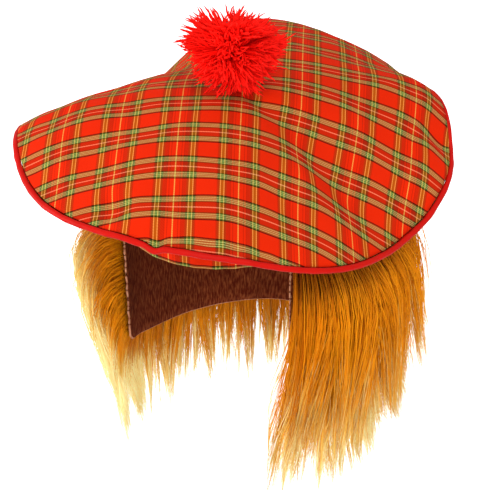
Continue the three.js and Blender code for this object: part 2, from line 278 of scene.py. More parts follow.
def add_mesh(name: str, points: Array, faces: list[Array]) -> bpy.types.Object:
    """Puts points and faces into a new smooth-shaded object, turned so that its faces point outwards.

    Args:
        name: The piece's name.
        points: An array of n by 3.
        faces: Arrays of corner numbers, one for each number of corners.

    Returns:
        The new object, at the origin.
    """
    volume = 0.0
    for group in faces:
        first = points[group[:, 0]]
        for corner in range(1, group.shape[1] - 1):
            second, third = points[group[:, corner]], points[group[:, corner + 1]]
            volume += float(np.einsum("ij,ij->", first, np.cross(second, third)))
    if volume < 0:
        faces = [group[:, ::-1] for group in faces]
    ends = np.concatenate([group.ravel() for group in faces]).astype(np.int32)
    sizes = np.concatenate([np.full(len(group), group.shape[1]) for group in faces])
    mesh = bpy.data.meshes.new(name)
    mesh.vertices.add(len(points))
    mesh.vertices.foreach_set("co", np.ascontiguousarray(points, np.float32).ravel())
    mesh.loops.add(len(ends))
    mesh.loops.foreach_set("vertex_index", ends)
    mesh.polygons.add(len(sizes))
    mesh.polygons.foreach_set("loop_start", (np.cumsum(sizes) - sizes).astype(np.int32))
    mesh.polygons.foreach_set("use_smooth", np.ones(len(sizes), bool))
    mesh.update(calc_edges=True)
    return add_object(name, mesh)


def set_cloth_map(piece: bpy.types.Object, values: Array) -> None:
    """Gives a piece its cloth map, two values for each vertex, as a UV map."""
    mesh = piece.data
    ends = np.zeros(len(mesh.loops), np.int32)
    mesh.loops.foreach_get("vertex_index", ends)
    layer = mesh.uv_layers.new(name="cloth")
    layer.data.foreach_set("uv", np.ascontiguousarray(values[ends], np.float32).ravel())


def set_number(piece: bpy.types.Object, name: str, values: Array) -> None:
    """Gives each vertex of a piece a number that its material reads."""
    attribute = piece.data.attributes.new(name, "FLOAT", "POINT")
    attribute.data.foreach_set("value", np.ascontiguousarray(values, np.float32).ravel())


def grid_normals(grid: Array, closed: bool) -> Array:
    """Unit normals of a grid surface: the cross product of its two directions at each point.

    Args:
        grid: An array of n by m by 3, going round first and across second.
        closed: Whether the last column is followed by the first.

    Returns:
        An array in the same shape.
    """
    if closed:
        round_way = np.roll(grid, -1, axis=0) - np.roll(grid, 1, axis=0)
    else:
        round_way = np.gradient(grid, axis=0)
    return unit(np.cross(np.gradient(grid, axis=1), round_way))


def shell(outer: Array, inner: Array, closed: bool, pole: bool = False) -> tuple[Array, list[Array]]:
    """A closed wall between two grids, joined round its edges.

    Args:
        outer: One face, n by m by 3, going round first and across second.
        inner: The other face, in the same shape.
        closed: Whether the last column is followed by the first.
        pole: Whether the first row of each face is drawn together in one point.

    Returns:
        The points and the faces.
    """
    columns, rows = outer.shape[:2]
    number = np.arange(columns * rows).reshape(columns, rows)
    here, there = (number, np.roll(number, -1, axis=0)) if closed else (number[:-1], number[1:])
    back = columns * rows
    a, b, c, d = here[:, :-1], there[:, :-1], there[:, 1:], here[:, 1:]
    faces = [corners(a, b, c, d), corners(a, d, c, b) + back]
    last, last_next = here[:, -1], there[:, -1]
    faces.append(corners(last, last_next, last_next + back, last + back))
    points = [outer.reshape(-1, 3), inner.reshape(-1, 3)]
    first, first_next = here[:, 0], there[:, 0]
    if pole:
        points.append(np.stack([outer[:, 0].mean(axis=0), inner[:, 0].mean(axis=0)]))
        top = np.full(len(first), 2 * back)
        faces.append(corners(first_next, first, top))
        faces.append(corners(first + back, first_next + back, top + 1))
    else:
        faces.append(corners(first_next, first, first + back, first_next + back))
    if not closed:
        start, end = number[0], number[-1]
        faces.append(corners(start[:-1], start[1:], start[1:] + back, start[:-1] + back))
        faces.append(corners(end[1:], end[:-1], end[:-1] + back, end[1:] + back))
    return np.concatenate(points), faces


def ring_tube(middle: Array, side: Array, up: Array, radius: Array) -> tuple[Array, list[Array]]:
    """A tube closed on itself: circles round a closed line, in the plane of its side and up directions.

    Args:
        middle: The line, n by 3.
        side: A unit direction for each point, across the line.
        up: Another unit direction, square to the first.
        radius: The radius at each point and angle, n by m.

    Returns:
        The points and the faces.
    """
    steps, sides = radius.shape
    angle = np.linspace(0, 2 * np.pi, sides, endpoint=False)
    spokes = side[:, None] * np.cos(angle)[None, :, None] + up[:, None] * np.sin(angle)[None, :, None]
    points = middle[:, None] + spokes * radius[..., None]
    number = np.arange(steps * sides).reshape(steps, sides)
    there = np.roll(number, -1, axis=0)
    turn = np.roll(number, -1, axis=1)
    both = np.roll(there, -1, axis=1)
    return points.reshape(-1, 3), [corners(number, there, both, turn)]


def strand_mesh(lines: Array, radii: Array, sides: int = 3) -> tuple[Array, list[Array]]:
    """Many thin tapering strands: rings of a few points along each line, a flat root and a sharp tip.

    Args:
        lines: The middle lines, n strands by k points by 3. The last point is the tip.
        radii: The radius at each point, n by k. The tip's isn't used.
        sides: How many points a ring has.

    Returns:
        The points, ring by ring and then the tips, and the faces.
    """
    strands, steps = lines.shape[:2]
    rings = steps - 1
    run = unit(np.gradient(lines, axis=1))
    chord = unit(lines[:, -1] - lines[:, 0])
    flat = np.where(np.abs(chord[:, 2:]) < 0.8, [[0.0, 0.0, 1.0]], [[1.0, 0.0, 0.0]])
    side = unit(np.cross(run, flat[:, None, :]))
    other = np.cross(run, side)
    angle = np.linspace(0, 2 * np.pi, sides, endpoint=False)
    spokes = side[:, :rings, None] * np.cos(angle)[:, None]
    spokes = spokes + other[:, :rings, None] * np.sin(angle)[:, None]
    body = lines[:, :rings, None] + spokes * radii[:, :rings, None, None]
    points = np.concatenate([body.reshape(-1, 3), lines[:, -1]])
    number = np.arange(strands * rings * sides).reshape(strands, rings, sides)
    turn = np.roll(number, -1, axis=2)
    tips = np.arange(strands) + number.size
    walls = corners(number[:, :-1], turn[:, :-1], turn[:, 1:], number[:, 1:])
    ends = corners(number[:, -1], turn[:, -1], np.repeat(tips[:, None], sides, axis=1))
    return points, [walls, ends, number[:, 0, ::-1]]


def colour_strands(piece: bpy.types.Object, along: Array, tint: Array, sides: int = 3) -> None:
    """Gives each strand the number its colour follows from root to tip, and its tint, which the fibre finish
    reads.

    Args:
        piece: The piece, made by strand_mesh.
        along: At each point of each strand a number from 0 to 1: the place from root to tip for the yarn, and
            for the fur how pale it is drawn, which holds painted backlight.
        tint: One number for each strand, where less is darker.
        sides: How many points a ring has.
    """
    looks = {"along": along, "tint": np.broadcast_to(np.clip(tint, 0, 1)[:, None], along.shape)}
    for name, values in looks.items():
        body = np.repeat(values[:, :-1, None], sides, axis=2)
        set_number(piece, name, np.concatenate([body.ravel(), values[:, -1]]))


# Node graphs


class Graph:
    """A node tree with short calls that add a node and join its sockets."""

    def __init__(self, tree: bpy.types.NodeTree) -> None:
        """Works on one node tree."""
        self.tree = tree

    def add(self, kind: str, inputs: dict, **settings: object) -> bpy.types.Node:
        """Adds a node.

        Args:
            kind: The node's Blender type.
            inputs: A value or an output socket for each input, by name or number.
            **settings: The node's own properties.

        Returns:
            The node.
        """
        node = self.tree.nodes.new(kind)
        for name, value in settings.items():
            setattr(node, name, value)
        for key, value in inputs.items():
            if isinstance(value, bpy.types.NodeSocket):
                self.tree.links.new(value, node.inputs[key])
            else:
                node.inputs[key].default_value = value
        return node

    def math(self, operation: str, first: Socket, second: Socket = 0.0) -> bpy.types.NodeSocket:
        """The result of a Math node on two values."""
        return self.add("ShaderNodeMath", {0: first, 1: second}, operation=operation).outputs[0]

    def mix(self, share: Socket, first: Socket, second: Socket, blend: str = "MIX") -> bpy.types.NodeSocket:
        """One colour mixed into another, where a plain colour is three numbers."""
        colours = [c if isinstance(c, bpy.types.NodeSocket) else (*c, 1.0) for c in (first, second)]
        inputs = {0: share, 6: colours[0], 7: colours[1]}
        node = self.add("ShaderNodeMix", inputs, data_type="RGBA", blend_type=blend)
        return node.outputs[2]

    def ramp(self, share: bpy.types.NodeSocket, stops: list[tuple[float, Colour]]) -> bpy.types.NodeSocket:
        """A colour that follows a value through a list of stops."""
        node = self.add("ShaderNodeValToRGB", {0: share})
        stops_in_node = node.color_ramp.elements
        while len(stops_in_node) < len(stops):
            stops_in_node.new(1.0)
        for element, (place, colour) in zip(stops_in_node, stops):
            element.position = place
            element.color = (*colour, 1.0)
        return node.outputs[0]

    def noise(self, vector: Socket, scale: Socket, detail: float = 3.0) -> bpy.types.NodeSocket:
        """Soft noise from 0 to 1 at a scale."""
        node = self.add("ShaderNodeTexNoise", {"Vector": vector, "Scale": scale, "Detail": detail})
        return node.outputs[0]

    def stretch(self, vector: Socket, scale: Colour, turn: float = 0.0) -> bpy.types.NodeSocket:
        """A vector scaled along its axes after a turn about the third."""
        inputs = {"Vector": vector, "Scale": scale, "Rotation": (0.0, 0.0, math.radians(turn))}
        return self.add("ShaderNodeMapping", inputs, vector_type="POINT").outputs[0]

    def attribute(self, name: str) -> bpy.types.NodeSocket:
        """A number that each vertex carries."""
        return self.add("ShaderNodeAttribute", {}, attribute_name=name).outputs["Fac"]

    def cloth_map(self) -> bpy.types.NodeSocket:
        """The piece's cloth map."""
        return self.add("ShaderNodeUVMap", {}, uv_map="cloth").outputs[0]

    def object_place(self) -> bpy.types.NodeSocket:
        """The place on the object, in metres."""
        return self.add("ShaderNodeTexCoord", {}).outputs["Object"]

    def group(self, tree: bpy.types.NodeTree, inputs: dict) -> bpy.types.Node:
        """Places a node group."""
        return self.add("ShaderNodeGroup", inputs, node_tree=tree)


def new_group(name: str, inputs: list[tuple[str, str, object]], outputs: list[tuple[str, str]]) -> tuple:
    """Makes an empty shader node group.

    Args:
        name: The group's name.
        inputs: For each input its name, its socket type and its value.
        outputs: For each output its name and its socket type.

    Returns:
        The tree, its graph, its input node and its output node.
    """
    tree = bpy.data.node_groups.new(name, "ShaderNodeTree")
    for label, kind, value in inputs:
        socket = tree.interface.new_socket(label, in_out="INPUT", socket_type=kind)
        if value is not None:
            socket.default_value = value
    for label, kind in outputs:
        tree.interface.new_socket(label, in_out="OUTPUT", socket_type=kind)
    graph = Graph(tree)
    return tree, graph, tree.nodes.new("NodeGroupInput"), tree.nodes.new("NodeGroupOutput")


@cache
def mottle_group() -> bpy.types.NodeTree:
    """Builds, once, the group that makes a colour uneven, as cloth and yarn are after handling."""
    inputs = [
        ("Color", "NodeSocketColor", None),
        ("Place", "NodeSocketVector", None),
        ("Scale", "NodeSocketFloat", 20.0),
        ("Amount", "NodeSocketFloat", 0.1),
    ]
    tree, graph, given, result = new_group("mottle", inputs, [("Color", "NodeSocketColor")])
    cloud = graph.noise(given.outputs["Place"], given.outputs["Scale"], 4.0)
    centred = graph.math("SUBTRACT", cloud, 0.5)
    swing = graph.math("MULTIPLY", centred, given.outputs["Amount"])
    gain = graph.math("ADD", graph.math("MULTIPLY", swing, 2.0), 1.0)
    grey = graph.add("ShaderNodeCombineColor", {0: gain, 1: gain, 2: gain}).outputs[0]
    tree.links.new(graph.mix(1.0, given.outputs["Color"], grey, "MULTIPLY"), result.inputs["Color"])
    return tree


@cache
def thread_group() -> bpy.types.NodeTree:
    """Builds, once, the group for crossing threads: which lies on top, and how high it stands.

    The cloth map is multiplied into thread numbers. Over is 1 where the lengthwise thread is on top and
    0 where the crosswise one is, and steps by one thread from row to row, which draws a twill line.
    """
    inputs = [
        ("Cloth", "NodeSocketVector", None),
        ("Threads Across", "NodeSocketFloat", 96.0),
        ("Threads Along", "NodeSocketFloat", 80.0),
    ]
    outputs = [("Over", "NodeSocketFloat"), ("Height", "NodeSocketFloat")]
    tree, graph, given, result = new_group("threads", inputs, outputs)
    parts = graph.add("ShaderNodeSeparateXYZ", {0: given.outputs["Cloth"]})
    across = graph.math("MULTIPLY", parts.outputs[0], given.outputs["Threads Across"])
    along = graph.math("MULTIPLY", parts.outputs[1], given.outputs["Threads Along"])
    diagonal = graph.math("MULTIPLY", graph.math("ADD", across, along), 0.25)
    wave = graph.math("PINGPONG", diagonal, 0.5)
    over = graph.math("MULTIPLY", wave, 2.0)
    round_across = graph.math("SINE", graph.math("MULTIPLY", across, 2 * math.pi))
    round_along = graph.math("SINE", graph.math("MULTIPLY", along, 2 * math.pi))
    tree.links.new(over, result.inputs["Over"])
    half_across = graph.math("MULTIPLY", round_across, 0.5)
    height = graph.math("ADD", half_across, graph.math("MULTIPLY", round_along, 0.5))
    tree.links.new(graph.math("ADD", height, over), result.inputs["Height"])
    return tree


# Finishes


class Thread(Enum):
    """The yarn colours of the tartan, as linear light."""

    RED = (0.64, 0.017, 0.001)
    DEEP_RED = (0.32, 0.013, 0.002)
    WINE = (0.22, 0.008, 0.002)
    GREEN = (0.09, 0.04, 0.004)
    MOSS = (0.12, 0.13, 0.006)
    OLIVE = (0.05, 0.12, 0.025)
    PALE = (0.46, 0.58, 0.19)
    YELLOW = (0.8, 0.46, 0.08)
    SALMON = (0.85, 0.27, 0.13)
    BLACK = (0.01, 0.003, 0.004)


@dataclass(frozen=True)
class Band:
    """One stripe of a sett: it ends at a share of the way from one mirror line to the next."""

    end: float
    thread: Thread


WARP = (
    Band(0.018, Thread.YELLOW),
    Band(0.155, Thread.RED),
    Band(0.175, Thread.WINE),
    Band(0.24, Thread.RED),
    Band(0.26, Thread.WINE),
    Band(0.375, Thread.DEEP_RED),
    Band(0.445, Thread.GREEN),
    Band(0.473, Thread.YELLOW),
    Band(0.56, Thread.MOSS),
    Band(0.588, Thread.YELLOW),
    Band(0.66, Thread.GREEN),
    Band(0.69, Thread.DEEP_RED),
    Band(1.0, Thread.RED),
)

WEFT = (
    Band(0.026, Thread.SALMON),
    Band(0.235, Thread.DEEP_RED),
    Band(0.26, Thread.BLACK),
    Band(0.305, Thread.OLIVE),
    Band(0.33, Thread.PALE),
    Band(0.38, Thread.OLIVE),
    Band(0.405, Thread.PALE),
    Band(0.455, Thread.OLIVE),
    Band(0.48, Thread.PALE),
    Band(0.54, Thread.OLIVE),
    Band(0.6, Thread.BLACK),
    Band(1.0, Thread.RED),
)


@dataclass(frozen=True)
class Finish:
    """What every finish has: its name, its gloss, how strongly its bump shows and how uneven it is."""

    name: str
    roughness: float
    bump: float
    specular: float = 0.04
    patch_scale: float = 26.0
    patchiness: float = 0.0

    def surface(self, graph: Graph, shader: bpy.types.Node) -> tuple[Socket, Socket]:
        """Works out the finish's own look.

        Args:
            graph: The material's graph.
            shader: Its Principled shader.

        Returns:
            The colour before it is made uneven, and the height for the bump.
        """
        raise NotImplementedError

    def material(self) -> bpy.types.Material:
        """Builds the material."""
        material = bpy.data.materials.new(self.name)
        material.use_nodes = True
        shader = material.node_tree.nodes["Principled BSDF"]
        shader.inputs["Roughness"].default_value = self.roughness
        shader.inputs["Specular IOR Level"].default_value = self.specular
        graph = Graph(material.node_tree)
        colour, height = self.surface(graph, shader)
        patches = {"Place": graph.object_place(), "Scale": self.patch_scale, "Amount": self.patchiness}
        uneven = graph.group(mottle_group(), {"Color": colour, **patches})
        graph.tree.links.new(uneven.outputs[0], shader.inputs["Base Color"])
        inputs = {"Height": height, "Strength": self.bump, "Distance": 0.3 * MM}
        bump = graph.add("ShaderNodeBump", inputs)
        graph.tree.links.new(bump.outputs[0], shader.inputs["Normal"])
        return material

    @staticmethod
    def glow(graph: Graph, shader: bpy.types.Node, colour: bpy.types.NodeSocket) -> None:
        """Gives the shader a glow."""
        graph.tree.links.new(colour, shader.inputs["Emission Color"])
        shader.inputs["Emission Strength"].default_value = 1.0


@dataclass(frozen=True)
class TartanFinish(Finish):
    """Woven tartan, drawn from its two setts on the cloth map, one repeat to a unit.

    Black yarn also shades the threads that cross it, by the share black_line. The colour is then multiplied
    by a painted shade, white for the top panel and the band, that darkens the underside's copy as if it lay
    in the crown's shadow.
    """

    patchiness: float = 0.09
    warp_centre: float = 0.725
    weft_centre: float = 0.785
    softness: float = 0.005
    # A painted shade that multiplies the colour; white leaves it as woven.
    painted_shade: Colour = (1.0, 1.0, 1.0)
    black_line: float = 0.45

    def stripes(
        self, graph: Graph, place: Socket, centre: float, sett: tuple[Band, ...], colours: list[Colour]
    ) -> Socket:
        """Stripes that mirror and repeat along one way of the cloth.

        Args:
            graph: The material's graph.
            place: The place in repeats.
            centre: Where the sett's first mirror line lies, in repeats.
            sett: The stripes from that line to the next.
            colours: The colour of each stripe.

        Returns:
            The colour socket.
        """
        mirrored = graph.math("PINGPONG", graph.math("SUBTRACT", place, centre), 0.5)
        stops = [(0.0, colours[0])]
        for band, colour, following in zip(sett, colours, colours[1:]):
            stops.append((band.end - self.softness, colour))
            stops.append((band.end + self.softness, following))
        return graph.ramp(graph.math("MULTIPLY", mirrored, 2.0), stops)

    def surface(self, graph: Graph, shader: bpy.types.Node) -> tuple[Socket, Socket]:
        """Crosses the two sets of threads in a twill."""
        cloth = graph.cloth_map()
        parts = graph.add("ShaderNodeSeparateXYZ", {0: cloth})
        along, across = parts.outputs[0], parts.outputs[1]
        warp = self.stripes(graph, along, self.warp_centre, WARP, [band.thread.value for band in WARP])
        weft = self.stripes(graph, across, self.weft_centre, WEFT, [band.thread.value for band in WEFT])
        greys = [(self.black_line,) * 3 if band.thread is Thread.BLACK else (1.0,) * 3 for band in WEFT]
        shades = self.stripes(graph, across, self.weft_centre, WEFT, greys)
        weave = graph.group(thread_group(), {"Cloth": cloth})
        share = graph.math("ADD", graph.math("MULTIPLY", weave.outputs["Over"], 0.3), 0.33)
        woven = graph.mix(1.0, graph.mix(share, weft, warp), shades, "MULTIPLY")
        fuzz = graph.noise(graph.object_place(), 2600.0, 2.0)
        height = graph.math("ADD", weave.outputs["Height"], fuzz)
        # Multiplies in the painted shade, which darkens the underside's copy as if shadowed by the crown.
        return graph.mix(1.0, woven, self.painted_shade, "MULTIPLY"), height


@dataclass(frozen=True)
class SatinFinish(Finish):
    """Satin cut on the bias round a filler cord, with faint slanting threads."""

    patch_scale: float = 60.0
    patchiness: float = 0.16
    colour: Colour = (0.47, 0.004, 0.001)

    def surface(self, graph: Graph, shader: bpy.types.Node) -> tuple[Socket, Socket]:
        """Gives the one colour, with slanting threads for the bump."""
        slanted = graph.stretch(graph.cloth_map(), (1400.0, 30.0, 1.0), 35.0)
        return (*self.colour, 1.0), graph.noise(slanted, 1.0, 2.0)


@dataclass(frozen=True)
class KnitFinish(Finish):
    """Brushed knit: short slanting fibres over fine ribs."""

    patch_scale: float = 45.0
    patchiness: float = 0.3
    colour: Colour = (0.08, 0.01, 0.003)
    streak: Colour = (0.24, 0.06, 0.018)
    rib: float = 1.4 * MM

    def surface(self, graph: Graph, shader: bpy.types.Node) -> tuple[Socket, Socket]:
        """Streaks the colour with fibres and lays ribs under them."""
        cloth = graph.cloth_map()
        brushed = graph.noise(graph.stretch(cloth, (620.0, 150.0, 1.0), 55.0), 1.0, 4.0)
        streaks = graph.ramp(brushed, [(0.42, self.colour), (0.72, self.streak)])
        parts = graph.add("ShaderNodeSeparateXYZ", {0: cloth})
        ribs = graph.math("SINE", graph.math("MULTIPLY", parts.outputs[0], 2 * math.pi / self.rib))
        return streaks, graph.math("ADD", brushed, graph.math("MULTIPLY", ribs, 0.2))


@dataclass(frozen=True)
class FibreFinish(Finish):
    """Loose fibres whose colour follows them from root to tip and changes from strand to strand. The change
    from root to tip is partly painted light: paler fur tips that are partly painted backlight, and darker
    roots and brighter tips on the yarn that are painted shade and painted highlight.

    The glow stands in for the light that scatters on from fibre to fibre, most in the thin tips.
    """

    patch_scale: float = 35.0
    patchiness: float = 0.2
    root: Colour = (0.34, 0.085, 0.003)
    middle: Colour = (0.92, 0.33, 0.004)
    # From gold to tip the fur pales: partly its own colour, partly painted backlight through the thin tips.
    gold: Colour = (0.92, 0.55, 0.07)
    tip: Colour = (1.0, 0.88, 0.5)
    shade: Colour = (0.66, 0.48, 0.22)
    middle_glow: Colour = (0.0, 0.0, 0.0)
    tip_glow: Colour = (0.26, 0.24, 0.1)
    pale_from: float = 0.55

    def surface(self, graph: Graph, shader: bpy.types.Node) -> tuple[Socket, Socket]:
        """Colours the fibres along their length and by their tint, and lets their tips glow."""
        along = graph.attribute("along")
        stops = [(0.0, self.root), (0.22, self.middle), (self.pale_from, self.middle), (0.76, self.gold)]
        colour = graph.ramp(along, [*stops, (0.94, self.tip)])
        darker = graph.mix(1.0, colour, self.shade, "MULTIPLY")
        glows = [(0.0, (0.0, 0.0, 0.0)), (0.3, self.middle_glow), (self.pale_from, self.middle_glow)]
        self.glow(graph, shader, graph.ramp(along, [*glows, (1.0, self.tip_glow)]))
        streaks = graph.noise(graph.stretch(graph.object_place(), (1500.0, 1500.0, 90.0)), 1.0, 1.0)
        return graph.mix(graph.attribute("tint"), darker, colour), streaks

    def material(self) -> bpy.types.Material:
        """Builds the material, whose weak glow isn't treated as a lamp."""
        material = super().material()
        material.cycles.emission_sampling = "NONE"
        return material


@dataclass(frozen=True)
class PaleFinish(Finish):
    """The plain pale floor, which looks bright but throws little light up at the hat."""

    colour: Colour = (0.86, 0.86, 0.86)
    bright: Colour = (0.75, 0.75, 0.75)

    def surface(self, graph: Graph, shader: bpy.types.Node) -> tuple[Socket, Socket]:
        """Clouds the floor a little, and brightens it for the camera alone."""
        cloud = graph.noise(graph.object_place(), 3.0)
        seen = graph.add("ShaderNodeLightPath", {}).outputs["Is Camera Ray"]
        self.glow(graph, shader, graph.mix(seen, (0.0, 0.0, 0.0), self.bright))
        return graph.ramp(cloud, [(0.0, self.colour), (1.0, (0.9, 0.9, 0.9))]), cloud


@dataclass(frozen=True)
class Wardrobe:
    """The finished materials of the hat; the underside's tartan is a copy darkened by a painted shade."""

    tartan: bpy.types.Material
    lower_tartan: bpy.types.Material
    satin: bpy.types.Material
    knit: bpy.types.Material
    binding: bpy.types.Material
    fur: bpy.types.Material
    yarn: bpy.types.Material

    @classmethod
    def made(cls) -> "Wardrobe":
        """Builds every material once."""
        edge = KnitFinish("knit_edge", 0.9, 0.4, colour=(0.4, 0.16, 0.08), streak=(0.55, 0.26, 0.15))
        # The yarn is one red: its darker roots are painted shade in the ball's crevices and its brighter,
        # more orange tips are a painted highlight.
        yarn = FibreFinish(
            "pompom_yarn",
            0.75,
            0.3,
            root=(0.6, 0.002, 0.001),
            middle=(0.92, 0.007, 0.003),
            gold=(0.96, 0.009, 0.004),
            tip=(1.0, 0.014, 0.008),
            shade=(0.8, 0.5, 0.5),
            middle_glow=(0.03, 0.0, 0.0),
            tip_glow=(0.08, 0.002, 0.001),
        )
        return cls(
            tartan=TartanFinish("tartan_cloth", 0.85, 0.3).material(),
            # The underside's copy carries a painted shade for the shadow under the crown.
            lower_tartan=TartanFinish("tartan_underside", 0.9, 0.3, painted_shade=(0.42, 0.28, 0.28)).material(),
            satin=SatinFinish("piping_satin", 0.5, 0.25, specular=0.08).material(),
            knit=KnitFinish("brushed_knit", 0.95, 0.7).material(),
            binding=edge.material(),
            fur=FibreFinish("ginger_fur", 0.5, 0.3, specular=0.06).material(),
            yarn=yarn.material(),
        )


def dress(
    piece: bpy.types.Object, material: bpy.types.Material, slot: str, *nodes: str
) -> bpy.types.Object:
    """Finishes a piece: its material, the body it rides on and the solids it stands for."""
    piece.data.materials.append(material)
    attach(piece, BODY)
    if nodes:
        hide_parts(*nodes)
    LOG.info("%s: %d faces", piece.name, len(piece.data.polygons))
    return piece


# The crown's form, shared by the pieces that meet it


@dataclass(frozen=True)
class CrownForm:
    """The top panel's form: a dome that falls from its middle to the rim, with folds in it."""

    radius: float
    height: float
    centre: tuple[float, float]

    @classmethod
    def from_frame(cls) -> "CrownForm":
        """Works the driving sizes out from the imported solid's box."""
        low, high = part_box("crown_top")
        bearing = np.arange(0.0, 360.0, 1.0)
        reach = rim_value("reach", bearing)
        wide = reach * np.cos(np.radians(bearing))
        deep = reach * np.sin(np.radians(bearing))
        radius = (high.x - low.x) / float(wide.max() - wide.min())
        centre = (high.x - radius * float(wide.max()), high.y - radius * float(deep.max()))
        return cls(radius, high.z, centre)

    def lift(self, bearing: Array, share: Array, folds: tuple[Fold, ...]) -> Array:
        """How far a list of folds lifts the cloth at a bearing and a share of the radius.

        Each fold is its lift times one bump across its bearings and one across its shares.
        """
        total = np.zeros(np.broadcast(bearing, share).shape)
        for fold in folds:
            away = (bearing - fold.bearing + 180) % 360 - 180
            middle = (fold.inner + fold.outer) / 2
            across = swell(share - middle, (fold.outer - fold.inner) / 2)
            total = total + fold.lift * self.height * swell(away, fold.spread) * across
        return total

    def level(self, bearing: Array, share: Array) -> Array:
        """The height of the dome with its folds, at a bearing and a share of the radius.

        The dome falls from its middle by the share to the power of its fullness, and the folds lift it.
        """
        fall = self.height * (1 - rim_value("rise", bearing))
        return self.height - fall * share ** rim_value("full", bearing) + self.lift(bearing, share, FOLDS)

    def points(self, bearing: Array, share: Array) -> Array:
        """Points of the dome, in an array whose last axis is X, Y and Z.

        Each lies from the middle along its bearing, by its share of the rim's reach there.
        """
        radius = self.radius * rim_value("reach", bearing) * share
        x = self.centre[0] + radius * np.cos(np.radians(bearing))
        y = self.centre[1] + radius * np.sin(np.radians(bearing))
        return np.stack([x, y, self.level(bearing, share)], axis=-1)

    def level_at(self, x: Array, y: Array) -> Array:
        """The dome's height over a place in plan, and the rim's height outside it."""
        away_x, away_y = x - self.centre[0], y - self.centre[1]
        bearing = np.degrees(np.arctan2(away_y, away_x))
        reach = self.radius * rim_value("reach", bearing)
        return self.level(bearing, np.minimum(1.0, np.hypot(away_x, away_y) / reach))


@dataclass(frozen=True)
class HeadForm:
    """The head oval and the hair strip that hangs from it."""

    half_width: float
    half_depth: float
    band_height: float
    band_wall: float
    drop: float
    corner: float = 12 * MM

    @classmethod
    def from_frame(cls) -> "HeadForm":
        """Works the driving sizes out from the boxes of the headband and the backing."""
        low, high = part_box("headband")
        wall = 2 * MM
        deepest = float(strip_value("edge", np.linspace(0, 1, 400)).max())
        drop = -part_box("hair_backing")[0].z / deepest
        return cls((high.x - low.x) / 2 - wall, (high.y - low.y) / 2 - wall, high.z - low.z, wall, drop)

    def points(self, bearing: Array, offset: Array, height: Array) -> Array:
        """Points of the oval grown by an offset.

        The radius is 1 over the length of the bearing's direction, divided by the two half sizes.
        """
        x, y = np.cos(np.radians(bearing)), np.sin(np.radians(bearing))
        radius = 1 / np.hypot(x / (self.half_width + offset), y / (self.half_depth + offset))
        return np.stack(np.broadcast_arrays(radius * x, radius * y, height), axis=-1)

    def bearing(self, along: Array) -> Array:
        """The bearing at a share of the way along the strip, which leaves the face open."""
        start = FRONT_BEARING - 360 + FACE_GAP_DEGREES / 2
        return start + (360 - FACE_GAP_DEGREES) * along

    @property
    def strip_length(self) -> float:
        """The strip's length at the oval, near enough for its corners."""
        return math.pi * (self.half_width + self.half_depth) * (360 - FACE_GAP_DEGREES) / 360

    def edge(self, along: Array) -> Array:
        """The height of the backing's lower edge, with its two lower corners rounded.

        The drop follows the strip's table, and a quarter circle lifts the edge near each end.
        """
        from_end = np.clip(np.minimum(along, 1 - along), 0, 1) * self.strip_length
        inside = self.corner - np.minimum(from_end, self.corner)
        lift = self.corner - np.sqrt(self.corner**2 - inside**2)
        return lift - self.drop * strip_value("edge", along)

    def strip(self, along: Array, offset: Array, height: Array) -> Array:
        """Points of the strip, offset outwards. It leans below the band as its table says.

        The lean grows with the square of how far down the backing a point lies.
        """
        hang = np.clip(-height / self.drop, 0, 1)
        lean = self.half_width * strip_value("lean", along) * hang**2
        return self.points(self.bearing(along), offset + lean, height)


# Sub-assemblies


